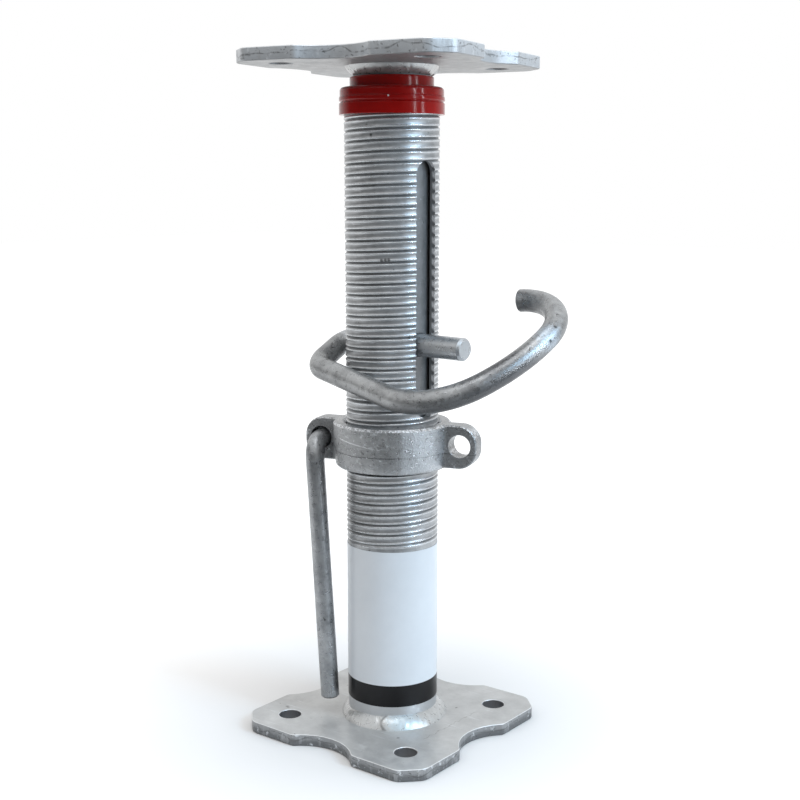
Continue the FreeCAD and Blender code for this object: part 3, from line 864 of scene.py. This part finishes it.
# %% Red cap finish
red_gloss, tree, skin = start_finish("red_cap", IOR=1.38)
dust = placed(tree, zinc_bloom, Cloud_Scale=70.0, Patch_Scale=300.0, Tooth_Scale=900.0)
red = blend(tree, dust.outputs["Cloud"], (0.30, 0.002, 0.0015), (0.38, 0.004, 0.003))
red = mark(tree, red, [(18.8, -27.5, 416.1)], 0.7, (0.9, 0.85, 0.85))
tree.links.new(red, skin.inputs["Base Color"])
tree.links.new(remap(tree, dust.outputs["Patch"], 0.0, 1.0, 0.10, 0.18), skin.inputs["Roughness"])

red_cap = softened("red_cap", "top_cap", "stand", CAP_EDGE, red_gloss)

# %% [markdown]
# ## Label
# A white sticker with a dark band at its foot wraps the plain end of the tube. Two stickers would
# make the same picture, but one band mask draws both tones, with a satin film over the whole.

# %% Label finish
LABEL_BAND_TOP = 0.0365
sticker, tree, skin = start_finish("label", **{"Specular IOR Level": 0.3})
film = placed(tree, zinc_bloom, Cloud_Scale=28.0, Patch_Scale=220.0, Tooth_Scale=1200.0)
foot_band = stripe(tree, position(tree)[2], 0.0, LABEL_BAND_TOP, 0.0002)
white = blend(tree, film.outputs["Cloud"], (0.68, 0.72, 0.76), (0.74, 0.78, 0.82))
tree.links.new(blend(tree, foot_band, white, (0.004, 0.004, 0.005)), skin.inputs["Base Color"])
tree.links.new(remap(tree, film.outputs["Patch"], 0.0, 1.0, 0.28, 0.36), skin.inputs["Roughness"])
print("finish", sticker.name)

# %% [markdown]
# ## Locking pin
# The pin is the same galvanised bar, but its tip is hammered through the holes: a dark ring where the
# chamfer starts, a bright chipped chamfer and a scuffed end. The tip is found on the mesh, and a
# measure along the pin places the ring.

# %% Locking pin finish
pin_zinc, tree, skin, colour = galvanised(
    "locking_pin", (0.19, 0.195, 0.20), (0.50, 0.51, 0.515), scales=(70, 300, 1300, 330),
    pit_level=0.66, gloss=(0.22, 0.44), tooth_height=0.00030, metallic=0.80)
# Painted shade on the pin's underside.
colour = shade_below(tree, colour, 0.85)
PIN_WAY = Vector((math.cos(math.radians(SLOT_TURN)), math.sin(math.radians(SLOT_TURN)), 0.0))
LOOP_STARTS = 0.08
reaches = [v.co.dot(PIN_WAY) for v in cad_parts["locking_pin"].data.vertices]
tip = max(reach for reach in reaches if reach < LOOP_STARTS)
near_tip = own_place(tree)
along = towards(tree, near_tip, PIN_WAY)
along = plus(tree, along, times(tree, placed(tree, zinc_bloom).outputs["Patch"], 0.0004))
off_axis = towards(tree, near_tip, Vector((-PIN_WAY.y, PIN_WAY.x, 0.0)))
straight = stripe(tree, off_axis, -0.009, 0.009, 0.001)
straight = times(tree, straight, stripe(tree, along, -0.07, tip + 0.002, 0.001))
# Painted shade: two dark patches on the hook's arm.
colour = mark(tree, colour, [(102.0, -38.0, 251.0), (110.0, -26.0, 256.0)], 22.0, (0.10, 0.10, 0.105), 0.45)
# A bluish painted highlight near the hook's bend.
colour = mark(tree, colour, [(117.5, 3.0, 275.0)], 11.0, (0.58, 0.68, 0.78), 0.5)
chips = [(41.0, -53.2, 245.0), (46.0, -56.5, 247.0), (51.4, -58.0, 244.0), (63.0, -60.5, 244.0),
         (-29.0, -24.0, 248.0), (118.5, 2.0, 272.0), (117.0, 10.0, 279.5)]
colour = mark(tree, colour, chips, 1.5, PIT)
# Painted light: the straight shank is lighter than the rest of the pin.
colour = tinted(tree, colour, straight, 0.55, (0.62, 0.65, 0.68))
ring = stripe(tree, along, tip - 0.0021, tip - 0.0013, 0.0003)
colour = tinted(tree, colour, times(tree, ring, straight), 0.7, SOOT)
chip = times(tree, stripe(tree, along, tip - 0.0012, tip + 0.001, 0.0002), straight)
scuffs = placed(tree, zinc_bloom, Patch_Scale=420.0).outputs["Patch"]
scuff = times(tree, chip, remap(tree, scuffs, 0.3, 0.8))
colour = tinted(tree, colour, scuff, 0.7, (0.62, 0.64, 0.66))
tree.links.new(colour, skin.inputs["Base Color"])
print("pin tip at %.1f mm along the pin" % (tip / MM))

# %% Finishes on the other CAD pieces
for node, finish in (("label", sticker), ("inner_tube", shaded_inner_zinc),
                     ("locking_pin", pin_zinc), ("nut_handle", bar_zinc)):
    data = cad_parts[node].data
    data.materials.clear()
    data.materials.append(finish)
    print(node, "wears", finish.name)
